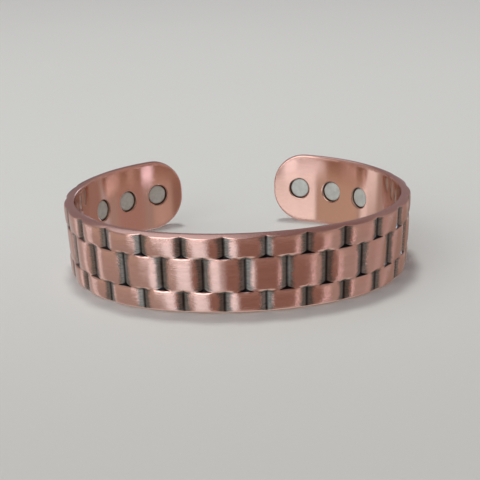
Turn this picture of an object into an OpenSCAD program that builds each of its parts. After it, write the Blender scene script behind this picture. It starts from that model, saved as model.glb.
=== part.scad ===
// Magnetic cuff bracelet: an open strip of copper, bent to go round a wrist, with three rows of raised
// links on its outside and three round magnets set into the inside of each plain end tab.
// It rests on its lower edge: the front of the cuff is at -Y, the opening at +Y, up is +Z.

/* [Strip] */
// Width of the strip, which is the height of the cuff as it rests
strip_w = 14.5; // [13:0.5:18]
// Thickness of the strip at the crowns of the links and on the tabs
strip_t = 2; // [2:0.1:3]
// Chamfer along the strip's inner edges
inner_edge = 0.3; // [0.1:0.05:0.5]
// Thickness at which the flat of each rim ends and its bevel starts
rim_flat_t = 0.8; // [0.7:0.05:1.1]
// How far the bevel of a rim drops on its way out to the crowns
rim_drop = 0.5; // [0.2:0.05:0.8]
// Corner radius of the tab ends
tab_corner_r = 6.6; // [3:0.1:7]
// Lean of the wall outwards towards the top, in degrees
wall_lean = 2.75; // [0:0.25:4]

/* [Bend] */
// Inner radius of the flattened front
front_r = 41.5; // [35:0.5:60]
// Angle of the flattened front on each side of the middle
front_a = 22.5; // [18:0.5:30]
// Inner radius of the turns beside the front
turn_r = 23.7; // [20:0.1:30]
// Angle of each turn
turn_a = 41; // [34:0.5:50]
// Inner radius of the arms behind the turns
arm_r = 26.7; // [25:0.1:32]
// Angle of each arm, out to its tip
arm_a = 104; // [98:0.5:115]

/* [Links] */
// Distance from one link to the next along the inner curve
link_pitch = 7.03; // [6:0.01:7.1]
// Half pitches between the middle of the pattern and its last groove on each side
last_groove = 15; // [9:1:15]
// How far the middle of the pattern lies to the left of the front's middle
pattern_shift = 1.1; // [0:0.1:1.5]
// Height of the middle row of links
mid_row_h = 6.2; // [5:0.1:8]
// Depth of the grooves between links
groove_d = 0.6; // [0.4:0.05:0.85]
// Distance from the bottom of a groove to the flat of a crown
groove_side_w = 3.4; // [2.5:0.05:3.5]
// How a crown rounds off into the groove: 1 makes straight sides, more makes rounder crowns
crown_curve = 2.4; // [1:0.1:3]
// Height of the sloping ledges between two rows
ledge_h = 0.7; // [0.3:0.05:0.9]
// How far a crown falls back towards its upper and lower edges
crown_bow = 0.1; // [0:0.01:0.2]

/* [Magnets] */
// Diameter of a magnet
magnet_d = 4; // [3:0.1:4.2]
// Thickness of a magnet
magnet_t = 1.1; // [0.8:0.1:1.4]
// Rounding of a magnet's edge
magnet_edge_r = 0.3; // [0.1:0.05:0.5]
// Diameter of the round seat that holds a magnet
seat_d = 4.3; // [4.1:0.1:5.3]
// Depth of a seat below the inside of the strip
seat_depth = 1.5; // [1.2:0.1:1.6]
// Gap between a magnet and the floor of its seat
seat_gap = 0.05; // [0.02:0.01:0.1]
// Distance from a tip to the middle of its first magnet
first_magnet = 5.5; // [5:0.1:8]
// Distance from one magnet to the next
magnet_pitch = 7.4; // [6:0.1:7.8]

/* [Hidden] */

LEFT = -1;
RIGHT = 1;
COPPER = "#b57462";
NICKEL = "#a3a49c";

// Lengths of the three arcs of one half of the inner curve
front_l = front_r * front_a * PI / 180;
turn_l = turn_r * turn_a * PI / 180;
arm_l = arm_r * arm_a * PI / 180;
half_l = front_l + turn_l + arm_l;

// Heights of the two ledges, where one row of links ends and the next begins
low_ledge_z = (strip_w - mid_row_h) / 2;
high_ledge_z = (strip_w + mid_row_h) / 2;

// One end of an arc of inner radius r and length l that starts at p = [x, y, heading]
function arc_end(p, r, l) =
    let (heading = p[2] + l / r * 180 / PI)
    [p[0] + r * (sin(heading) - sin(p[2])), p[1] - r * (cos(heading) - cos(p[2])), heading];

// Place and heading on the right half of the inner curve, s along it from the front's middle
function half_plan(s) =
    let (front_end = arc_end([0, 0, 0], front_r, min(s, front_l)),
         turn_end = arc_end(front_end, turn_r, min(max(s - front_l, 0), turn_l)))
    arc_end(turn_end, arm_r, max(s - front_l - turn_l, 0));

// The same on the whole curve, where s is negative on the left
function plan(s) =
    let (side = s < 0 ? LEFT : RIGHT, p = half_plan(abs(s)))
    [side * p[0], p[1], side * p[2]];

// A point of the wall: s along the inner curve, t out from it, z up
function wall_point(s, t, z) =
    let (p = plan(s), out = t + tan(wall_lean) * (z - strip_w / 2))
    [p[0] + sin(p[2]) * out, p[1] - cos(p[2]) * out, z];

// Half pitches from the pattern's middle to s
function half_pitches(s) = (s + pattern_shift) / (link_pitch / 2);

// Depth of the relief at s in the middle row (row 0) or an outer row (row 1). The grooves of the middle
// row lie at the even half pitches, those of the outer rows at the odd ones.
function relief(s, row) =
    let (nearest = 2 * round((half_pitches(s) - row) / 2) + row,
         away = abs(half_pitches(s) - nearest) * link_pitch / 2)
    abs(nearest) > last_groove ? 0 : groove_d * pow(1 - min(away / groove_side_w, 1), crown_curve);

// How far the crowns of a row fall back at its edges at s: fully along the links, not at all on the tabs
// and in the floors of the grooves
function bow(s, row) =
    crown_bow * min(max(last_groove + 1 - abs(half_pitches(s)), 0), 1) * (1 - relief(s, row) / groove_d);

// Drop of a rim where the wall is t thick
function rim_z(t) = rim_drop * (t - rim_flat_t) / (strip_t - rim_flat_t);

// The cross section of the strip at s, as [thickness, height] pairs, going out along the lower rim,
// up the links and back along the upper rim
function section(s) =
    let (outer = strip_t - relief(s, 1), outer_edge = outer - bow(s, 1),
         centre = strip_t - relief(s, 0), centre_edge = centre - bow(s, 0), h = ledge_h / 2)
    [[0, inner_edge],
     [inner_edge, 0],
     [rim_flat_t, 0],
     [outer_edge, rim_z(outer_edge)],
     [outer, (rim_drop + low_ledge_z) / 2],
     [outer_edge, low_ledge_z - h],
     [centre_edge, low_ledge_z + h],
     [centre, strip_w / 2],
     [centre_edge, high_ledge_z - h],
     [outer_edge, high_ledge_z + h],
     [outer, strip_w - (rim_drop + low_ledge_z) / 2],
     [outer_edge, strip_w - rim_z(outer_edge)],
     [rim_flat_t, strip_w],
     [inner_edge, strip_w],
     [0, strip_w - inner_edge]];
SECTION_N = len(section(0));
// Places in the section where its lower rim ends and its upper rim starts
LOW_LIP = 3;
HIGH_LIP = 11;

// The section at s as points of the wall
function ring(s) = [for (q = section(s)) wall_point(s, q[0], q[1])];

// A section of a rounded tab end: turned by a from the tab's straight edges, it lies further along the
// tab and between edges that have closed in
function tab_ring(side, a) =
    let (s0 = half_l - tab_corner_r, sec = section(side * s0))
    [for (i = [0 : SECTION_N - 1])
        let (low = i < SECTION_N / 2,
             on_face = i > LOW_LIP && i < HIGH_LIP,
             inset = on_face ? rim_drop : low ? sec[i][1] : strip_w - sec[i][1],
             edge_z = tab_corner_r - (tab_corner_r - inset) * cos(a),
             along = s0 + (tab_corner_r - inset) * sin(a),
             share = (sec[i][1] - rim_drop) / (strip_w - 2 * rim_drop),
             z = on_face ? edge_z + share * (strip_w - 2 * edge_z) : low ? edge_z : strip_w - edge_z)
        wall_point(side * along, sec[i][0], z)];

// Steps across one half pitch of the pattern, closest together in the grooves
PITCH_STEPS = [0, 0.13, 0.29, 0.5, 0.71, 0.87];
TAB_STEPS = 8;
CORNER_STEPS = 8;
pattern_n = last_groove + 1;
pattern_s = [for (k = [-pattern_n : pattern_n - 1], f = PITCH_STEPS)
                 (k + f) * link_pitch / 2 - pattern_shift];
pattern_end = pattern_n * link_pitch / 2 - pattern_shift;
right_tab_s = [for (k = [0 : TAB_STEPS - 1])
                   pattern_end + (half_l - tab_corner_r - pattern_end) * k / TAB_STEPS];
left_tab_s = [for (k = [0 : TAB_STEPS - 1])
                  pattern_s[0] - (half_l - tab_corner_r + pattern_s[0]) * (TAB_STEPS - k) / TAB_STEPS];
corner_a = [for (k = [0 : CORNER_STEPS]) 90 * k / CORNER_STEPS];

rings = concat(
    [for (k = [CORNER_STEPS : -1 : 1]) tab_ring(LEFT, corner_a[k])],
    [for (s = concat(left_tab_s, pattern_s, right_tab_s)) ring(s)],
    [for (a = corner_a) tab_ring(RIGHT, a)]);

// Middle of the cuff's outline, which goes to the origin
middle = [for (axis = [0, 1])
              let (v = [for (r = rings, p = r) p[axis]])
              (min(v) + max(v)) / 2];

// Faces between the ring that starts at point a and the next one
function band(a) = [for (j = [0 : SECTION_N - 1])
    let (k = (j + 1) % SECTION_N) [a + j, a + SECTION_N + j, a + SECTION_N + k, a + k]];

// The three faces that close a tip: its inner chamfer, its end and its outer bevel
function tip(a) =
    let (last = SECTION_N - 1)
    [[a, a + 1, a + last - 1, a + last],
     [a + 1, a + 2, a + last - 2, a + last - 1],
     [for (j = [LOW_LIP - 1 : HIGH_LIP + 1]) a + j]];
function reversed(face) = [for (j = [len(face) - 1 : -1 : 0]) face[j]];

module strip() {
    last_ring = (len(rings) - 1) * SECTION_N;
    points = [for (r = rings, p = r) [p[0] - middle[0], p[1] - middle[1], p[2]]];
    bands = [for (i = [0 : len(rings) - 2], f = band(i * SECTION_N)) f];
    right_tip = [for (f = tip(last_ring)) reversed(f)];
    polyhedron(points, concat(bands, tip(0), right_tip), convexity = 10);
}

// Stands its children on the inside of the strip at the middle of a magnet, number 1 being at the tip,
// with their +Z towards the wrist
module at_magnet(side, number) {
    s = side * (half_l - first_magnet - (number - 1) * magnet_pitch);
    p = plan(s);
    translate([p[0] - middle[0], p[1] - middle[1], strip_w / 2])
        rotate([wall_lean - 90, 0, p[2]])
            children();
}

module cuff() {
    color(COPPER)
        difference() {
            strip();
            for (side = [LEFT, RIGHT], number = [1 : 3])
                at_magnet(side, number)
                    translate([0, 0, -seat_depth])
                        cylinder(h = seat_depth + strip_t, d = seat_d, $fn = 48);
        }
}

module magnet(side, number) {
    core_r = magnet_d / 2 - magnet_edge_r;
    color(NICKEL)
        at_magnet(side, number)
            translate([0, 0, seat_gap - seat_depth])
                rotate_extrude($fn = 48) {
                    square([core_r, magnet_t]);
                    square([magnet_d / 2, magnet_t - magnet_edge_r]);
                    translate([core_r, magnet_t - magnet_edge_r])
                        intersection() {
                            circle(r = magnet_edge_r, $fn = 32);
                            square(magnet_edge_r);
                        }
                }
}

cuff();
magnet(LEFT, 1);  // magnet_left_1
magnet(LEFT, 2);  // magnet_left_2
magnet(LEFT, 3);  // magnet_left_3
magnet(RIGHT, 1);  // magnet_right_1
magnet(RIGHT, 2);  // magnet_right_2
magnet(RIGHT, 3);  // magnet_right_3
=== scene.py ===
"""Magnetic cuff bracelet of copper: an open strip, brushed outside, with three rows of raised links and dark
grooves between them, and three round nickel magnets in the inside of each plain tab. It rests on its lower
edge."""

import math

import bmesh
import bpy
from mathutils import Matrix, Vector


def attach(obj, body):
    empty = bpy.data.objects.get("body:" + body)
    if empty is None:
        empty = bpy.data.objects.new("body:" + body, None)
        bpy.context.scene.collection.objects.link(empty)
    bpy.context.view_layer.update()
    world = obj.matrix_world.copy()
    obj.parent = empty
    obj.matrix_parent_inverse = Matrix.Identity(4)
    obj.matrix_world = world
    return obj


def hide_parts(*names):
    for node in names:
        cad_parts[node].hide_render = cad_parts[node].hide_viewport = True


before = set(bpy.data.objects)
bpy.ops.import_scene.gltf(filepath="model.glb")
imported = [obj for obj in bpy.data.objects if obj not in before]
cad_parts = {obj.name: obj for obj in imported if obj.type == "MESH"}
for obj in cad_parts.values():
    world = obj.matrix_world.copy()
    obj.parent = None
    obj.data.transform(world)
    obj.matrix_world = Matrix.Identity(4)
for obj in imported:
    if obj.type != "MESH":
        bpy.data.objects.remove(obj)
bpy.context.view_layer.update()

MM = 0.001
LEFT, RIGHT = -1, 1
MAGNET_NUMBERS = (1, 2, 3)

# Strip. Sizes are in millimetres, apart from those of the floor, the lamps and the camera's clipping, which
# are in metres.
STRIP_W = 14.5
STRIP_T = 2.0
INNER_EDGE_R = 0.3
RIM_FLAT_T = 0.8
RIM_DROP = 0.5
RIM_LIP = 0.2
FACE_INSET = RIM_DROP + RIM_LIP
TAB_CORNER_R = 6.6
WALL_LEAN = math.radians(2.75)

# Bend: inner radius and angle of the front, of the turns and of the arms
FRONT_R, FRONT_A = 41.5, math.radians(22.5)
TURN_R, TURN_A = 23.7, math.radians(41)
ARM_R, ARM_A = 26.7, math.radians(104)
FRONT_L = FRONT_R * FRONT_A
TURN_L = TURN_R * TURN_A
HALF_L = FRONT_L + TURN_L + ARM_R * ARM_A

# Middle of the bent cuff's box, from the middle of the front's inside
BOX_MIDDLE = Vector((-0.0050661, 26.0595477, 0))

# Links. Grooves are counted in half pitches from the pattern's middle.
LINK_PITCH = 7.03
LAST_GROOVE = 15
PATTERN_SHIFT = 1.1
PATTERN_HALF_L = (LAST_GROOVE + 1) * LINK_PITCH / 2
MID_ROW_H = 6.2
GROOVE_D = 0.6
GROOVE_SIDE_W = 3.4
GROOVE_FOOT = 0.16
CROWN_CURVE = 2.4
CROWN_BOW = 0.14
LEDGE_H = 0.75
LOW_LEDGE_Z = (STRIP_W - MID_ROW_H) / 2
HIGH_LEDGE_Z = (STRIP_W + MID_ROW_H) / 2

# Rows of links, each named by the count of one of its grooves
MIDDLE_ROW, OUTER_ROWS = 0, 1

# Magnets and their seats
MAGNET_D = 4.0
MAGNET_T = 1.1
MAGNET_EDGE_R = 0.3
FIRST_MAGNET = 5.5
MAGNET_PITCH = 7.4
SEAT_R = 2.15
SEAT_DEPTH = 1.5
SEAT_GAP = 0.05
SEAT_LIP = 0.12
SEAT_LIP_MIDDLE = 0.035
SEAT_RIM_W = 0.1
SEAT_FOOT = 0.1
SEAT_PATCH = 2.6

# Fineness of the surface: steps round the edges of the section, and along the strip
EDGE_STEPS = 4
RIM_STEPS = 4
LIP_STEPS = 5
INSIDE_STEPS = 9
PATCH_STEPS = 12
HALF_PITCH_STEPS = 16
TAB_STEPS = 9
BETWEEN_STEPS = 5
STRAIGHT_STEPS = 4
CORNER_STEPS = 12

# Heights of the tracks on the outside: the first one, how far from the middle they end, the step between
# them on a ledge and a margin round it, and what the step grows by, over a short way, beyond that margin
FIRST_LEVEL = 0.95
MIDDLE_CLEAR = 0.1
LEDGE_STEP = 0.075
LEDGE_MARGIN = 0.05
STEP_GROWTH = 0.3
GROWTH_WAY = 0.7

# How far two points may lie apart, in metres, to be one point or to be level with one another
ONE_POINT = 1e-7
LEVEL = 2e-5

# What the copper reads from the cuff's surface: the depth of the relief, the way along the strip to the
# nearest groove, the heights over that groove's lower end and under its upper end, whether it is the inside,
# and how far down the lip of a seat it is, which sets the painted shade there. Where no groove is near, the
# ways are long ones. The strip's UVs are in millimetres, with those of the inside set apart from the others.
MARKS = ("depth", "across", "rise", "fall", "inside", "seat_shade")
NO_GROOVE = (LINK_PITCH / 2, STRIP_W, STRIP_W)
STRIP_UV = "strip"
INSIDE_UV = 40


# The bend

def arc_end(x, y, heading, radius, length):
    """The far end of an arc of the inner curve, as x, y and heading."""
    turned = heading + length / radius
    return (x + radius * (math.sin(turned) - math.sin(heading)),
            y - radius * (math.cos(turned) - math.cos(heading)), turned)


def plan(s):
    """Place and heading on the inner curve, s along it from the front's middle and negative on the left."""
    side, away = (LEFT if s < 0 else RIGHT), abs(s)
    end = arc_end(0, 0, 0, FRONT_R, min(away, FRONT_L))
    end = arc_end(*end, TURN_R, min(max(away - FRONT_L, 0), TURN_L))
    end = arc_end(*end, ARM_R, max(away - FRONT_L - TURN_L, 0))
    return side * end[0], end[1], side * end[2]


def bent(s, t, z):
    """A point of the flat strip, s along it, t out from its inside and z up, once the strip is bent."""
    x, y, heading = plan(s)
    out = t + math.tan(WALL_LEAN) * (z - STRIP_W / 2)
    return (Vector((x + math.sin(heading) * out, y - math.cos(heading) * out, z)) - BOX_MIDDLE) * MM


# The relief of the links

def smooth(x):
    """Eases from 0 to 1 as x goes from 0 to 1."""
    x = min(max(x, 0), 1)
    return x * x * (3 - 2 * x)


def half_pitches(s):
    """Half pitches from the pattern's middle to s."""
    return (s + PATTERN_SHIFT) / (LINK_PITCH / 2)


def nearest_groove(s, row):
    """The count of a row's groove that is nearest to s, and the way from it to s."""
    count = 2 * round((half_pitches(s) - row) / 2) + row
    return count, (half_pitches(s) - count) * LINK_PITCH / 2


def groove_share(s, row):
    """1 in the bottom of a row's groove and 0 on its crowns."""
    count, across = nearest_groove(s, row)
    return 0 if abs(count) > LAST_GROOVE else (1 - min(abs(across) / GROOVE_SIDE_W, 1)) ** CROWN_CURVE


def row_depth(s, z, row):
    """Depth of one row's surface below the strip's full thickness."""
    groove = groove_share(s, row)
    if row == MIDDLE_ROW:
        from_middle = (z - STRIP_W / 2) / (MID_ROW_H / 2)
    else:
        half = (LOW_LEDGE_Z - RIM_DROP) / 2
        from_middle = (min(z, STRIP_W - z) - RIM_DROP - half) / half
    fade = min(max(LAST_GROOVE + 1 - abs(half_pitches(s)), 0), 1)
    return GROOVE_D * groove + CROWN_BOW * fade * (1 - groove) * min(abs(from_middle), 1) ** 3


def surface(s, z):
    """Depth of the outside at s and z."""
    low = smooth((z - LOW_LEDGE_Z) / LEDGE_H + 0.5)
    high = smooth((z - HIGH_LEDGE_Z) / LEDGE_H + 0.5)
    outer, middle = row_depth(s, z, OUTER_ROWS), row_depth(s, z, MIDDLE_ROW)
    return outer + (middle - outer) * low * (1 - high)


def groove_place(s, z):
    """Way along the strip to the nearest groove of the row at z, and the heights over that groove's lower
    end and under its upper end. A row's grooves reach down to a foot a little under the ledge's middle."""
    low, high = LOW_LEDGE_Z - GROOVE_FOOT, HIGH_LEDGE_Z - GROOVE_FOOT
    count, across = nearest_groove(s, MIDDLE_ROW if low < z < high else OUTER_ROWS)
    if abs(count) > LAST_GROOVE:
        return NO_GROOVE
    rise = z - HIGH_LEDGE_Z if z > high else z - LOW_LEDGE_Z if z > low else STRIP_W
    fall = STRIP_W if z > high else HIGH_LEDGE_Z - z if z > low else LOW_LEDGE_Z - z
    return across, rise, fall


def rim_z(t):
    """Drop of a rim where the wall is t thick."""
    return RIM_DROP * max(t - RIM_FLAT_T, 0) / (STRIP_T - RIM_FLAT_T)


# The section of the strip is a ring of tracks that run along it. A track holds its kind, its height or its
# share of that kind's way, and whether it belongs to the upper half.

def face_levels():
    """Heights of the tracks on the outside, close together on the ledges."""
    levels, z = [], FIRST_LEVEL
    while z < STRIP_W / 2 - MIDDLE_CLEAR:
        levels.append(z)
        off_ledge = abs(z - LOW_LEDGE_Z) - LEDGE_H / 2 - LEDGE_MARGIN
        z += LEDGE_STEP + STEP_GROWTH * smooth(off_ledge / GROWTH_WAY)
    return levels + [STRIP_W / 2] + [STRIP_W - z for z in reversed(levels)]


def inner_levels():
    """Heights of the tracks on the inside, with the edges of the patches round the magnets among them."""
    low, high = STRIP_W / 2 - SEAT_PATCH, STRIP_W / 2 + SEAT_PATCH
    below = [INNER_EDGE_R + (low - INNER_EDGE_R) * k / INSIDE_STEPS for k in range(INSIDE_STEPS)]
    patch = [low + (high - low) * k / PATCH_STEPS for k in range(PATCH_STEPS + 1)]
    return below + patch + [STRIP_W - z for z in reversed(below)]


def section_tracks():
    """The ring of tracks: down the inside, out over the lower rim, up the outside, in over the upper rim."""
    tracks = [("inside", z, False) for z in reversed(inner_levels()[1:-1])]
    tracks += [("inner_edge", k / EDGE_STEPS, False) for k in range(EDGE_STEPS)]
    tracks += [("rim", k / RIM_STEPS, False) for k in range(RIM_STEPS)]
    tracks += [("lip", k / LIP_STEPS, False) for k in range(LIP_STEPS + 1)]
    tracks += [("face", z, False) for z in face_levels()]
    tracks += [("lip", 1 - k / LIP_STEPS, True) for k in range(LIP_STEPS + 1)]
    tracks += [("rim", 1 - k / RIM_STEPS, True) for k in range(1, RIM_STEPS + 1)]
    tracks += [("inner_edge", 1 - k / EDGE_STEPS, True) for k in range(1, EDGE_STEPS + 1)]
    return tracks


def section_point(s, track):
    """Thickness, height and depth of the relief at a track of the section at s."""
    kind, share, upper = track
    if kind == "inside":
        return 0, share, 0
    if kind == "face":
        depth = surface(s, share)
        return STRIP_T - depth, share, depth
    if kind == "inner_edge":
        turn = math.radians(90 * share)
        t, z, depth = INNER_EDGE_R * (1 - math.cos(turn)), INNER_EDGE_R * (1 - math.sin(turn)), 0
    else:
        face_depth = surface(s, FACE_INSET)
        lip_t = STRIP_T - surface(s, RIM_DROP)
        start = lip_t - RIM_LIP
        if kind == "rim":
            t = INNER_EDGE_R + (start - INNER_EDGE_R) * share
            z, depth = rim_z(t), 0
        else:
            bevel = Vector((start, rim_z(start)))
            corner = Vector((lip_t, rim_z(lip_t)))
            face = Vector((STRIP_T - face_depth, rim_z(lip_t) + RIM_LIP))
            t, z = bevel * (1 - share) ** 2 + corner * 2 * share * (1 - share) + face * share ** 2
            depth = face_depth * smooth(2 * share - 1)
    return t, (STRIP_W - z if upper else z), depth


# The stations along the strip: s on its straight edges, or a turn round the corners of a tab's end

TAB_START = HALF_L - TAB_CORNER_R
MAGNET_S = [HALF_L - FIRST_MAGNET - (number - 1) * MAGNET_PITCH for number in MAGNET_NUMBERS]


def spaced(start, end, steps):
    """Evenly spaced values from start up to the last one before end."""
    return [start + (end - start) * k / steps for k in range(steps)]


def tab_stations(pattern_edge):
    """Distances from the front's middle to the straight stations of a tab."""
    first, second, third = MAGNET_S
    return (spaced(pattern_edge, third - SEAT_PATCH, TAB_STEPS)
            + spaced(third - SEAT_PATCH, third + SEAT_PATCH, PATCH_STEPS)
            + spaced(third + SEAT_PATCH, second - SEAT_PATCH, BETWEEN_STEPS)
            + spaced(second - SEAT_PATCH, second + SEAT_PATCH, PATCH_STEPS)
            + spaced(second + SEAT_PATCH, first - SEAT_PATCH, BETWEEN_STEPS)
            + spaced(first - SEAT_PATCH, TAB_START, STRAIGHT_STEPS))


def strip_stations():
    """All stations from the left tip to the right one, as s and the turn round a tab's corner."""
    start, end = -PATTERN_HALF_L - PATTERN_SHIFT, PATTERN_HALF_L - PATTERN_SHIFT
    patch_turn = math.asin((MAGNET_S[0] + SEAT_PATCH - TAB_START) / (TAB_CORNER_R - INNER_EDGE_R))
    turns = (spaced(0, patch_turn, PATCH_STEPS - STRAIGHT_STEPS)
             + spaced(patch_turn, math.pi / 2, CORNER_STEPS) + [math.pi / 2])
    stations = [(LEFT * TAB_START, turn) for turn in reversed(turns)]
    stations += [(-s, 0) for s in reversed(tab_stations(-start))]
    stations += [(s, 0) for s in spaced(start, end, 2 * (LAST_GROOVE + 1) * HALF_PITCH_STEPS)]
    stations += [(s, 0) for s in tab_stations(end)]
    stations += [(RIGHT * TAB_START, turn) for turn in turns]
    return stations


def squeezed(z, inset, edge_z):
    """Height of a track on a face whose edges have closed in from inset to edge_z. The middle keeps its
    place, and the power stays under share / (1 - share), past which tracks would cross near the edge."""
    half = STRIP_W / 2
    share = (half - edge_z) / (half - inset)
    power = min(2, 0.9 * share / (1 - share))
    return half + (z - half) * (1 - (1 - share) * (abs(z - half) / (half - inset)) ** power)


def strip_point(station, track):
    """A point of the flat strip as s, t, z, followed by the depth of the relief."""
    s, turn = station
    t, z, depth = section_point(s, track)
    if turn:
        on_face = track[0] in ("inside", "face")
        inset = (INNER_EDGE_R if track[0] == "inside" else FACE_INSET) if on_face else min(z, STRIP_W - z)
        edge_z = TAB_CORNER_R - (TAB_CORNER_R - inset) * math.cos(turn)
        if on_face:
            z = squeezed(z, inset, edge_z)
        else:
            z = STRIP_W - edge_z if z > STRIP_W / 2 else edge_z
        s += math.copysign((TAB_CORNER_R - inset) * math.sin(turn), s)
    return s, t, z, depth


# The cuff

def finished(bm, name, sharp_angle):
    """Turns a bmesh into an object with smooth faces, whose edges are sharp past an angle in degrees."""
    mesh = bpy.data.meshes.new(name)
    bm.to_mesh(mesh)
    bm.free()
    mesh.shade_smooth()
    mesh.set_sharp_from_angle(angle=math.radians(sharp_angle))
    piece = bpy.data.objects.new(name, mesh)
    bpy.context.scene.collection.objects.link(piece)
    return piece


def magnet_frame(side, number):
    """Stands things on the inside of the strip at a magnet's middle, with their +Z towards the wrist."""
    x, y, heading = plan(side * MAGNET_S[number - 1])
    place = (Vector((x, y, STRIP_W / 2)) - BOX_MIDDLE) * MM
    return (Matrix.Translation(place) @ Matrix.Rotation(heading, 4, "Z")
            @ Matrix.Rotation(WALL_LEAN - math.pi / 2, 4, "X"))


def cut_seat(bm, strip_uv, side, number):
    """Replaces a square patch of the inside by a rim, a wall and a floor: the round seat of a magnet."""
    layers = [bm.verts.layers.float[name] for name in MARKS[1:]]
    middle_s = side * MAGNET_S[number - 1]
    seat_frame = magnet_frame(side, number)
    to_local = seat_frame.inverted()
    patch_half = SEAT_PATCH * MM
    shallow = STRIP_T / 4 * MM

    def in_patch(face):
        p = to_local @ face.calc_center_median()
        return abs(p.x) < patch_half and abs(p.y) < patch_half and abs(p.z) < shallow

    patch = [f for f in bm.faces if in_patch(f)]
    patch_edges = dict.fromkeys(e for f in patch for e in f.edges)
    bmesh.ops.delete(bm, geom=patch, context="FACES")
    border = [e for e in patch_edges if e.is_valid and e.is_boundary]
    circle = bmesh.ops.create_circle(bm, cap_ends=False, segments=len(border),
                                     radius=(SEAT_R + SEAT_LIP) * MM, matrix=seat_frame)["verts"]
    ring = list(dict.fromkeys(e for v in circle for e in v.link_edges))

    def sink(verts, radius, depth):
        """Sets a ring of the seat to a radius, at a depth below the curved inside of the strip."""
        for v in verts:
            p = to_local @ v.co
            flat = Vector((p.x, p.y)).normalized() * radius * MM
            rise = ARM_R * MM - math.sqrt((ARM_R * MM) ** 2 - flat.x ** 2)
            v.co = seat_frame @ Vector((flat.x, flat.y, rise - depth * MM))
            # The last mark is how far down the seat's lip the painted shade reaches
            for layer, value in zip(layers, (*NO_GROOVE, 1.0, min(depth / SEAT_LIP, 1))):
                v[layer] = value

    sink(circle, SEAT_R + SEAT_LIP + SEAT_RIM_W, 0)
    made = list(bmesh.ops.bridge_loops(bm, edges=border + ring)["faces"])
    for radius, depth in ((SEAT_R + SEAT_LIP, 0), (SEAT_R + SEAT_LIP_MIDDLE, SEAT_LIP_MIDDLE),
                          (SEAT_R, SEAT_LIP), (SEAT_R, SEAT_DEPTH - SEAT_FOOT)):
        geom = bmesh.ops.extrude_edge_only(bm, edges=ring)["geom"]
        verts = [g for g in geom if isinstance(g, bmesh.types.BMVert)]
        made += [g for g in geom if isinstance(g, bmesh.types.BMFace)]
        ring = [g for g in geom if isinstance(g, bmesh.types.BMEdge) and all(v in verts for v in g.verts)]
        sink(verts, radius, depth)
    for v in verts:
        p = to_local @ v.co
        v.co = seat_frame @ Vector((p.x, p.y, -SEAT_DEPTH * MM))
    made += bmesh.ops.edgeloop_fill(bm, edges=ring)["faces"]
    for f in made:
        for loop in f.loops:
            p = (to_local @ loop.vert.co) / MM
            loop[strip_uv].uv = (middle_s + p.x, INSIDE_UV + STRIP_W / 2 + p.y)


def close_tip(bm, strip_uv, side):
    """Joins the lower and upper rim of a tab's end across its straight tip."""
    middle = STRIP_W / 2 * MM
    straight = (STRIP_W / 2 - TAB_CORNER_R) * MM
    border = [e for e in bm.edges if e.is_boundary and side * e.verts[0].co.x > 0]
    rims = [e for e in border if all(abs(abs(v.co.z - middle) - straight) < LEVEL for v in e.verts)
            and abs(e.verts[0].co.z - e.verts[1].co.z) < LEVEL]
    for f in bmesh.ops.bridge_loops(bm, edges=rims)["faces"]:
        for loop in f.loops:
            loop[strip_uv].uv = (side * HALF_L, loop.vert.co.z / MM)


def make_cuff():
    """The strip as a grid of stations and tracks, whose last row closes on the first."""
    bm = bmesh.new()
    strip_uv = bm.loops.layers.uv.new(STRIP_UV)
    layers = [bm.verts.layers.float.new(name) for name in MARKS]
    stations, tracks = strip_stations(), section_tracks()
    columns, rows = len(stations) - 1, len(tracks)
    bmesh.ops.create_grid(bm, x_segments=columns, y_segments=rows, size=1)
    bm.verts.index_update()
    uvs = {}
    for v in bm.verts:
        station = stations[round((v.co.x + 1) / 2 * columns)]
        track = tracks[round((v.co.y + 1) / 2 * rows) % rows]
        kind = track[0]
        s, t, z, depth = strip_point(station, track)
        to_edge = (STRIP_T - t) * (1 if z > STRIP_W / 2 else -1)
        uvs[v.index] = (s, z + INSIDE_UV if kind == "inside" else z + to_edge)
        place = groove_place(s, z) if kind in ("face", "lip") else NO_GROOVE
        for layer, value in zip(layers, (depth, *place, 1.0 if kind == "inside" else 0.0, 0.0)):
            v[layer] = value
        v.co = bent(s, t, z)
    for f in bm.faces:
        for loop in f.loops:
            loop[strip_uv].uv = uvs[loop.vert.index]
    bmesh.ops.remove_doubles(bm, verts=bm.verts, dist=ONE_POINT)
    for side in (LEFT, RIGHT):
        close_tip(bm, strip_uv, side)
    for side in (LEFT, RIGHT):
        for number in MAGNET_NUMBERS:
            cut_seat(bm, strip_uv, side, number)
    bmesh.ops.recalc_face_normals(bm, faces=bm.faces)
    return finished(bm, "copper_cuff", sharp_angle=38)


# The magnets

MAGNET_SIDES = 72
MAGNET_EDGE_STEPS = 9
MAGNET_FACE_INSETS = (0.35, 0.5, 0.5)


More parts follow.
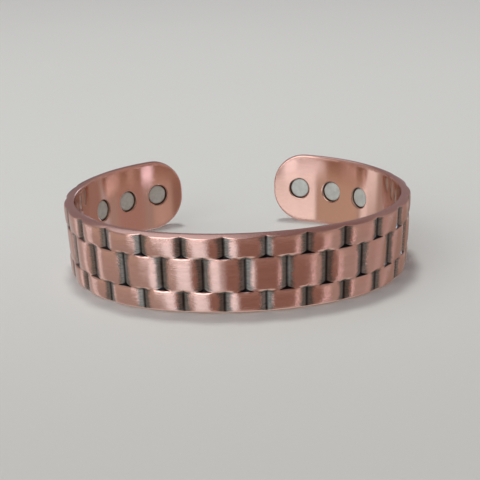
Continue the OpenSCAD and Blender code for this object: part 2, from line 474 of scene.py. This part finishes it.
def make_magnet(side, side_name, number):
    """A round disc in its seat, with a rounded edge towards the wrist."""
    bm = bmesh.new()
    at = magnet_frame(side, number) @ Matrix.Translation((0, 0, (SEAT_GAP - SEAT_DEPTH) * MM))
    bmesh.ops.create_circle(bm, cap_ends=True, segments=MAGNET_SIDES, radius=MAGNET_D / 2 * MM)
    top = bmesh.ops.extrude_face_region(bm, geom=bm.faces[:])["geom"]
    raised = [g for g in top if isinstance(g, bmesh.types.BMVert)]
    bmesh.ops.translate(bm, verts=raised, vec=(0, 0, MAGNET_T * MM))
    edge = [e for e in bm.edges if all(v in raised for v in e.verts)]
    bmesh.ops.bevel(bm, geom=edge, offset=MAGNET_EDGE_R * MM, segments=MAGNET_EDGE_STEPS, profile=0.5,
                    affect="EDGES", material=-1)
    face = max(bm.faces, key=lambda f: f.calc_center_median().z)
    for inset in MAGNET_FACE_INSETS:
        bmesh.ops.inset_region(bm, faces=[face], thickness=inset * MM, depth=0)
    bmesh.ops.recalc_face_normals(bm, faces=bm.faces)
    bm.transform(at)
    return finished(bm, f"nickel_magnet_{side_name}_{number}", sharp_angle=40)


# Node tools

class Graph:
    """Adds nodes to a tree and links them: inputs are given by name or number, as values or as sockets."""

    def __init__(self, tree):
        self.tree = tree

    def feed(self, sockets, inputs):
        """Links each input to its socket, or sets the socket where the input is a plain value."""
        for key, value in inputs.items():
            if isinstance(value, bpy.types.NodeSocket):
                self.tree.links.new(value, sockets[key])
            else:
                sockets[key].default_value = value

    def add(self, kind, inputs=None, **settings):
        node = self.tree.nodes.new(kind)
        for key, value in settings.items():
            setattr(node, key, value)
        self.feed(node.inputs, inputs or {})
        return node

    def math(self, operation, a, b=0.0, clamp=False):
        return self.add("ShaderNodeMath", {0: a, 1: b}, operation=operation, use_clamp=clamp).outputs[0]

    def chained(self, operation, values):
        result, *others = values
        for value in others:
            result = self.math(operation, result, value)
        return result

    def vector(self, operation, inputs, label=""):
        return self.add("ShaderNodeVectorMath", inputs, operation=operation, label=label).outputs[0]

    def plus(self, *values):
        return self.chained("ADD", values)

    def minus(self, a, b, clamp=False):
        return self.math("SUBTRACT", a, b, clamp)

    def times(self, *values):
        return self.chained("MULTIPLY", values)

    def highest(self, *values):
        return self.chained("MAXIMUM", values)

    def rising(self, value, low, high, to_low=0.0, to_high=1.0, shape="SMOOTHSTEP"):
        """Goes from to_low to to_high as the value goes from low to high."""
        return self.add("ShaderNodeMapRange", {"Value": value, "From Min": low, "From Max": high,
                                               "To Min": to_low, "To Max": to_high},
                        interpolation_type=shape).outputs["Result"]

    def falling(self, value, low, high):
        return self.rising(value, low, high, 1.0, 0.0)

    def mix(self, factor, a, b):
        node = self.add("ShaderNodeMix", data_type="RGBA")
        sockets = {s.identifier: s for s in node.inputs}
        self.feed(sockets, {"Factor_Float": factor, "A_Color": a, "B_Color": b})
        return next(s for s in node.outputs if s.identifier == "Result_Color")

    def noise(self, place, scale, detail, roughness=0.5):
        return self.add("ShaderNodeTexNoise", {"Vector": place, "Scale": scale, "Detail": detail,
                                               "Roughness": roughness}).outputs["Fac"]

    def bump(self, height, distance, strength=1.0):
        return self.add("ShaderNodeBump", {"Strength": strength, "Distance": distance,
                                           "Height": height}).outputs["Normal"]


def colour(red, green, blue):
    return (red, green, blue, 1.0)


def new_material(name):
    """An empty material with its node tools and its shader."""
    material = bpy.data.materials.new(name)
    material.use_nodes = True
    g = Graph(material.node_tree)
    g.tree.nodes.clear()
    shader = g.add("ShaderNodeBsdfPrincipled")
    g.add("ShaderNodeOutputMaterial", {"Surface": shader.outputs["BSDF"]})
    return material, g, shader


# The stretches of a noise's range over which one look gives way to another
SOFT_CHANGE, HARD_CHANGE = (0.3, 0.7), (0.35, 0.65)

# Copper: its two shades, that of the inside and how far it covers them, and the dark finish, grey and brown
# where it is worn and black where soot fills it. The black also serves as painted shade under the crowns,
# and the black and the worn finish as painted shade in the seats
COPPER_SHADES = (colour(0.88, 0.54, 0.45), colour(0.92, 0.575, 0.485))
INSIDE_COPPER, INSIDE_COVER = colour(0.75, 0.458, 0.362), 0.9
WORN_SHADES = (colour(0.185, 0.185, 0.16), colour(0.33, 0.275, 0.24))
BLACK_OF_SOOT_AND_SHADE = colour(0.012, 0.011, 0.012)

# Roughness of the copper, what the dark finish and the inside add to it, and how far and which way the brush
# draws out its shine
COPPER_ROUGHNESS = (0.13, 0.17)
FINISH_ROUGHER, INSIDE_ROUGHER = 0.14, -0.03
DRAWN_OUT, DRAWN_ALONG = 0.7, 0.25

# Brush: length, width and depth of its lines, and the shares of that depth that its streaks have and that is
# left on the inside
LINE_L = 1.3
LINE_W = 0.2
LINE_D = 0.03
STREAK_DEPTH = 0.15
INSIDE_DEPTH = 0.12

# Dark finish: the shares of the lines and the streaks in its ragged edge, the depths in a groove between
# which it begins, how ragged that is, the ways along the strip between which it goes thin and what is left of
# it there, and the shares of a seat's lip between which it begins and how much of it lies there, where it is
# painted shade
RAGGED_LINES, RAGGED_STREAKS = 0.6, 0.4
FINISH_DEPTHS, FINISH_RAGGED = (0.17, 0.36), 0.5
THIN_WAYS, THIN_LEFT = (22, 42), 0.75
SEAT_LIP_SHARE, SEAT_SHADE_FINISH = (0.1, 0.8), 0.45

# Soot and painted shade, both black: soot in a line along the bottom of each groove and in a pocket at its
# foot, painted shade under the crown above it, and a little painted shade in the seats. Each has the ways
# between which it ends, and its strength.
SOOT_LINE, LINE_RAGGED, LINE_SOOT = (0.04, 0.42), 0.12, 0.85
POCKET_H = 0.75
POCKET_HALF_W = 1.35
POCKET_SIDES = (-0.06, 0.12)
POCKET_FOOT = (-GROOVE_FOOT, -0.05)
POCKET_TOP = (POCKET_H - 0.1, POCKET_H)
SHADE_FALL, SHADE_SIDES, PAINTED_SHADE_BLACK = (0.05, 0.5), (1.0, 1.5), 0.75
SEAT_PAINTED_SHADE = 0.2

# Lines and streaks of the brush: how much longer and wider than a line they are, and their detail
BRUSH_MARKS = ((1.0, 1.0, 3.0), (2.6, 3.4, 4.0))


def brush_lines_group():
    """Fine lines left by a brush that ran along the strip, over broader streaks of the same direction."""
    tree = bpy.data.node_groups.new("brush_lines", "ShaderNodeTree")
    for name, kind in (("Place", "NodeSocketVector"), ("Line Length", "NodeSocketFloat"),
                       ("Line Width", "NodeSocketFloat")):
        tree.interface.new_socket(name, in_out="INPUT", socket_type=kind)
    for name in ("Lines", "Streaks"):
        tree.interface.new_socket(name, in_out="OUTPUT", socket_type="NodeSocketFloat")
    g = Graph(tree)
    source = g.add("NodeGroupInput").outputs
    place = g.add("ShaderNodeSeparateXYZ", {0: source["Place"]}).outputs
    outputs = {}
    for number, (longer, wider, detail) in enumerate(BRUSH_MARKS):
        along = g.math("DIVIDE", place["X"], g.times(source["Line Length"], longer))
        across = g.math("DIVIDE", place["Y"], g.times(source["Line Width"], wider))
        stretched = g.add("ShaderNodeCombineXYZ", {"X": along, "Y": across, "Z": wider}).outputs[0]
        outputs[number] = g.noise(stretched, scale=1.0, detail=detail, roughness=0.6)
    g.feed(g.add("NodeGroupOutput").inputs, outputs)
    return tree


def copper_material():
    """Brushed copper with its dark finish in the grooves, and painted shade under the crowns and in the
    seats.
    """
    material, g, shader = new_material("brushed_copper")
    uv = g.add("ShaderNodeUVMap", uv_map=STRIP_UV).outputs["UV"]
    brush = g.add("ShaderNodeGroup", node_tree=brush_lines_group())
    g.feed(brush.inputs, {"Place": uv, "Line Length": LINE_L, "Line Width": LINE_W})
    lines, streaks = brush.outputs["Lines"], brush.outputs["Streaks"]
    depth, across, rise, fall, inside, seat_shade = (
        g.add("ShaderNodeAttribute", attribute_name=name).outputs["Fac"] for name in MARKS)
    near = g.math("ABSOLUTE", across)

    # The brush ran over the crowns and left the dark finish in the grooves, with a ragged edge
    ragged = g.minus(g.plus(g.times(lines, RAGGED_LINES), g.times(streaks, RAGGED_STREAKS)), 0.5)
    patina = g.rising(g.plus(depth, g.times(ragged, FINISH_RAGGED)), *FINISH_DEPTHS)

    # The pocket of soot narrows from the foot of its groove to its top
    line = g.times(g.falling(g.plus(near, g.times(ragged, LINE_RAGGED)), *SOOT_LINE), patina)
    climb = g.minus(1.0, g.math("DIVIDE", rise, POCKET_H), clamp=True)
    reach = g.times(climb, climb, POCKET_HALF_W)
    pocket = g.times(g.rising(g.minus(reach, near), *POCKET_SIDES), g.rising(rise, *POCKET_FOOT),
                     g.falling(rise, *POCKET_TOP))
    # Painted shade under the crown above the upper end of each groove
    shade = g.times(g.falling(fall, *SHADE_FALL), g.falling(near, *SHADE_SIDES))
    # Soot and painted shade are blackened together
    soot_and_shade = g.highest(g.times(line, LINE_SOOT), pocket, g.times(shade, PAINTED_SHADE_BLACK), g.times(seat_shade, SEAT_PAINTED_SHADE))
    # The worn finish also covers a seat's lip, as painted shade
    cover = g.highest(patina, pocket, g.rising(seat_shade, *SEAT_LIP_SHARE, 0.0, SEAT_SHADE_FINISH))

    # At the sides the finish has gone thin, and the painted shade with it
    along = g.math("ABSOLUTE", g.add("ShaderNodeSeparateXYZ", {0: uv}).outputs["X"])
    left_over = g.rising(along, *THIN_WAYS, 1.0, THIN_LEFT)
    soot_and_shade, cover = g.times(soot_and_shade, left_over), g.times(cover, left_over)

    copper = g.mix(g.rising(streaks, *SOFT_CHANGE), *COPPER_SHADES)
    copper = g.mix(g.times(inside, INSIDE_COVER), copper, INSIDE_COPPER)
    worn = g.mix(g.rising(lines, *HARD_CHANGE), *WORN_SHADES)
    rough = g.rising(lines, *SOFT_CHANGE, *COPPER_ROUGHNESS, "LINEAR")
    rough = g.plus(rough, g.times(cover, FINISH_ROUGHER), g.times(inside, INSIDE_ROUGHER))
    height = g.plus(lines, g.times(streaks, STREAK_DEPTH))
    height = g.times(height, g.rising(inside, 0.0, 1.0, 1.0, INSIDE_DEPTH))
    tangent = g.add("ShaderNodeTangent", direction_type="UV_MAP", uv_map=STRIP_UV)
    g.feed(shader.inputs, {"Base Color": g.mix(cover, copper, g.mix(soot_and_shade, worn, BLACK_OF_SOOT_AND_SHADE)), "Roughness": rough,
                           "Normal": g.bump(height, LINE_D * MM), "Metallic": 1.0,
                           "Anisotropic": DRAWN_OUT, "Anisotropic Rotation": DRAWN_ALONG,
                           "Tangent": tangent.outputs["Tangent"]})
    return material


NICKEL_SHADES = (colour(0.65, 0.69, 0.64), colour(0.76, 0.80, 0.75))
NICKEL_ROUGHNESS = (0.50, 0.60)
NICKEL_GRAIN_D = 0.004


def nickel_material():
    """Dull nickel, clouded and finely grained."""
    material, g, shader = new_material("dull_nickel")
    place = g.add("ShaderNodeTexCoord").outputs["Object"]
    cloud = g.noise(place, scale=900.0, detail=4.0, roughness=0.6)
    base = g.mix(g.rising(cloud, *HARD_CHANGE), *NICKEL_SHADES)
    rough = g.rising(cloud, *SOFT_CHANGE, *NICKEL_ROUGHNESS, "LINEAR")
    grain = g.bump(g.noise(place, scale=6000.0, detail=3.0), NICKEL_GRAIN_D * MM)
    g.feed(shader.inputs, {"Base Color": base, "Roughness": rough, "Normal": grain, "Metallic": 0.6})
    return material


# Studio: the metal mirrors rings of soft panels. Each has its name, the azimuths of its ends from the front
# towards the right, its soft edge, the heights of its lower and upper end, all in degrees, and what it adds
# to the room's light.

ROOM = (0.355, 0.315, 0.30)

# For the links, whose faces mirror what lies 17 degrees or more under the horizon, and two high ones for the
# lips of the ledges and the rims
LINK_PANELS = [
    ("window", -40.2, -13, 3.5, -90, -17, (0.46, 0.61, 0.73)),
    ("dark front", -11.5, 42, 6, -90, -17, (-0.125, -0.165, -0.172)),
    ("narrow strip", 45, 47.4, 1.5, -90, -17, (1.35, 1.2, 1.45)),
    ("right glow", 90, 101, 20, -90, -17, (0.14, 0.11, 0.14)),
    ("right shade", 108, 168, 12, -90, -17, (-0.065, -0.08, -0.095)),
    ("left glow", -125, -112, 14, -90, -17, (0.40, 0.45, 0.50)),
    ("left back glow", -190, -135, 20, -90, -17, (0.10, 0.14, 0.15)),
    ("right back glow", 165, 190, 20, -90, -17, (0.08, 0.08, 0.08)),
    ("upper window", -58, -13, 6, 0, 50, (1.5, 1.55, 1.65)),
    ("dark upper front", -11.5, 40, 8, 0, 60, (-0.125, -0.165, -0.172)),
]

# For the lower halves of the tabs: low down, and not seen by light that is mirrored twice
TAB_PANELS = [
    ("low room", -190, 190, 2, -17, -9.3, (0.067, 0.06, 0.057)),
    ("low window", -56, -16, 5, -17, -9.3, (0.83, 0.98, 1.11)),
    ("low front", -11.5, 35, 6, -17, -9.3, (-0.13, -0.185, -0.196)),
    ("left wall", -100, -58, 6, -17, -9.3, (0.16, 0.13, 0.07)),
    ("left strip", -111.5, -103, 4, -17, -13.2, (0.43, 0.49, 0.57)),
    ("left strip above", -124, -103, 8, -13.2, -9.3, (0.68, 0.80, 0.90)),
    ("right strip", 36, 53, 5, -17, -9.3, (0.155, 0.107, 0.083)),
    ("right wall", 62, 90, 8, -17, -9.3, (0.0, -0.07, -0.07)),
    ("right patch", 102, 109, 4, -17, -9.3, (0.107, 0.19, 0.286)),
    ("low right shade", 112, 136, 6, -17, -9.3, (-0.07, -0.12, -0.13)),
]

# For the upper halves of the tabs, which mirror them by way of the front's inside: near the horizon, and
# seen only by light that is mirrored twice
INNER_PANELS = [
    ("horizon", -190, 190, 2, -10.5, 2, (0.25, 0.47, 0.49)),
    ("horizon right", 79, 190, 30, -8.5, 2, (1.7, 3.4, 5.2)),
    ("horizon left", -99, -74, 9, -8, 2, (2.6, 4.5, 7.7)),
    ("horizon front", -10, 36, 8, -13, -8.2, (1.1, 1.6, 2.3)),
    ("horizon window", -56, -36, 5, -12, -7.6, (1.2, 1.8, 2.4)),
]
PANEL_SOFT_ENDS = 1.5

# Behind the cuff the room is darker, most of all straight behind it. Each dark part has its sides, as the
# values of to_front between which it fades, and its heights in degrees.
BACK, LOW_BACK = colour(0.25, 0.21, 0.225), colour(0.12, 0.09, 0.09)
BACK_SIDES, BACK_FOOT = (-0.75, -0.35), (-3, 2)
LOW_BACK_SIDES, LOW_BACK_HEIGHTS = (-0.995, -0.97), (-18, 8, 4)

# The ceiling is bright over the left and dark over the right, and far below, where the floor would be
# mirrored, it is pale
CEILING_LEFT, CEILING_RIGHT = colour(0.62, 0.64, 0.70), colour(0.21, 0.16, 0.17)
CEILING_MIDDLE, CEILING_FOOT = (-0.02, 0.14), (37, 49)
BELOW, BELOW_TOP = colour(0.60, 0.61, 0.59), (-62, -42)

# What light that is mirrored more than twice brings, and what the camera sees beyond the floor
MIRRORED_ON = colour(0.38, 0.37, 0.36)
HAZE = colour(0.58, 0.58, 0.57)


def studio_world():
    """The room and its panels, by the direction that their light comes from and how often it is mirrored."""
    world = bpy.data.worlds.new("studio")
    bpy.context.scene.world = world
    world.use_nodes = True
    g = Graph(world.node_tree)
    g.tree.nodes.clear()
    way = g.add("ShaderNodeSeparateXYZ", {0: g.add("ShaderNodeTexCoord").outputs["Generated"]}).outputs
    to_front = g.times(way["Y"], -1.0)
    azimuth = g.times(g.math("ARCTAN2", way["X"], to_front), 180 / math.pi)
    height = g.times(g.math("ARCSINE", way["Z"]), 180 / math.pi)
    rays = g.add("ShaderNodeLightPath").outputs

    def within(value, low, high, soft):
        return g.times(g.rising(value, low - soft / 2, low + soft / 2),
                       g.falling(value, high - soft / 2, high + soft / 2))

    def mirrored(times):
        """1 for light that is mirrored that often or more, whose ray depth is one greater."""
        return g.math("GREATER_THAN", rays["Ray Depth"], times + 0.5)

    twice = mirrored(2)
    light = ROOM
    for panels, seen in ((LINK_PANELS, 1.0), (TAB_PANELS, g.minus(1.0, twice)), (INNER_PANELS, twice)):
        for name, start, end, soft, foot, top, strength in panels:
            sides = within(azimuth, start, end, soft)
            share = g.times(sides, within(height, foot, top, PANEL_SOFT_ENDS), seen)
            panel = g.vector("SCALE", {0: strength, "Scale": share}, name)
            light = g.vector("ADD", {0: light, 1: panel})
    light = g.mix(g.times(g.falling(to_front, *BACK_SIDES), g.rising(height, *BACK_FOOT)), light, BACK)
    low_back = g.times(g.falling(to_front, *LOW_BACK_SIDES), within(height, *LOW_BACK_HEIGHTS))
    light = g.mix(low_back, light, LOW_BACK)
    ceiling = g.mix(g.rising(way["X"], *CEILING_MIDDLE), CEILING_LEFT, CEILING_RIGHT)
    light = g.mix(g.rising(height, *CEILING_FOOT), light, ceiling)
    light = g.mix(g.falling(height, *BELOW_TOP), light, BELOW)
    light = g.mix(mirrored(3), light, MIRRORED_ON)
    light = g.mix(rays["Is Camera Ray"], light, HAZE)
    background = g.add("ShaderNodeBackground", {"Color": light, "Strength": 1.0})
    g.add("ShaderNodeOutputWorld", {"Surface": background.outputs[0]})


# Floor: half its width, its two shades, and a painted shade near the camera, which gives way to them from
# one place to another towards the back. Only the depth of its grain is in millimetres.
FLOOR_HALF_W = 3
FLOOR_GRAIN_D = 0.1
FLOOR_SHADES = (colour(0.715, 0.74, 0.705), colour(0.76, 0.785, 0.75))
FLOOR_PAINTED_SHADE, FLOOR_PAINTED_SHADE_Y = colour(0.64, 0.65, 0.615), (-0.10, 0.04)


def floor_material():
    """The studio's pale and faintly clouded floor, darker near the camera with painted shade."""
    material, g, shader = new_material("pale_floor")
    place = g.add("ShaderNodeTexCoord").outputs["Object"]
    shades = g.mix(g.noise(place, scale=6.0, detail=5.0), *FLOOR_SHADES)
    to_back = g.add("ShaderNodeSeparateXYZ", {0: place}).outputs["Y"]
    # Painted shade: the floor darkens towards the camera
    base = g.mix(g.rising(to_back, *FLOOR_PAINTED_SHADE_Y), FLOOR_PAINTED_SHADE, shades)
    grain = g.bump(g.noise(place, scale=900.0, detail=3.0), FLOOR_GRAIN_D * MM, strength=0.3)
    g.feed(shader.inputs, {"Base Color": base, "Roughness": 0.6, "Normal": grain})
    return material


def make_floor():
    """The floor that the cuff stands on. The metal mirrors the low panels in its stead."""
    bm = bmesh.new()
    bmesh.ops.create_grid(bm, x_segments=4, y_segments=4, size=FLOOR_HALF_W)
    floor = finished(bm, "floor", sharp_angle=30)
    floor.data.materials.append(floor_material())
    floor.visible_glossy = False


def soft_light(name, place, size, energy):
    """A round lamp that is aimed at the cuff and isn't mirrored by it."""
    light = bpy.data.lights.new(name, "AREA")
    light.shape = "DISK"
    light.size = size
    light.energy = energy
    light.color = (1.0, 0.99, 0.96)
    lamp = bpy.data.objects.new(name, light)
    bpy.context.scene.collection.objects.link(lamp)
    lamp.location = place
    lamp.visible_glossy = False
    lamp.rotation_euler = (-lamp.location).to_track_quat("-Z", "Y").to_euler()


# Camera: it looks down on the front, from a little to the left of its middle, and is rolled a little

CAMERA_AIM = Vector((0.092, -1.720, 5.022)) * MM
CAMERA_DISTANCE = 231.28 * MM
CAMERA_AZIMUTH = math.radians(-4.3877)
CAMERA_ELEVATION = math.radians(18.2535)
CAMERA_ROLL = math.radians(-1.5132)


def make_camera():
    """Aims the camera at the cuff and rolls it."""
    data = bpy.data.cameras.new("camera")
    data.lens = 90
    data.sensor_width = 36
    data.clip_start = 0.01
    data.clip_end = 20
    camera = bpy.data.objects.new("camera", data)
    bpy.context.scene.collection.objects.link(camera)
    flat = math.cos(CAMERA_ELEVATION)
    back = Vector((math.sin(CAMERA_AZIMUTH) * flat, -math.cos(CAMERA_AZIMUTH) * flat,
                   math.sin(CAMERA_ELEVATION)))
    right = (-back).cross(Vector((0, 0, 1))).normalized()
    up = right.cross(-back)
    turned_right = right * math.cos(CAMERA_ROLL) + up * math.sin(CAMERA_ROLL)
    turned_up = up * math.cos(CAMERA_ROLL) - right * math.sin(CAMERA_ROLL)
    turn = Matrix((turned_right, turned_up, back)).transposed().to_4x4()
    camera.matrix_world = Matrix.Translation(CAMERA_AIM + back * CAMERA_DISTANCE) @ turn
    bpy.context.scene.camera = camera


cuff = make_cuff()
cuff.data.materials.append(copper_material())
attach(cuff, "root")
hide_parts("cuff")

nickel = nickel_material()
for side, side_name in ((LEFT, "left"), (RIGHT, "right")):
    for number in MAGNET_NUMBERS:
        magnet = make_magnet(side, side_name, number)
        magnet.data.materials.append(nickel)
        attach(magnet, "root")
        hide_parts(f"magnet_{side_name}_{number}")

make_floor()
studio_world()
soft_light("left_key", place=(-0.60, -0.10, 0.40), size=0.85, energy=0.68)
soft_light("back_key", place=(-0.03, 0.18, 0.80), size=0.16, energy=2.35)
make_camera()
bpy.context.scene.view_settings.view_transform = "Standard"
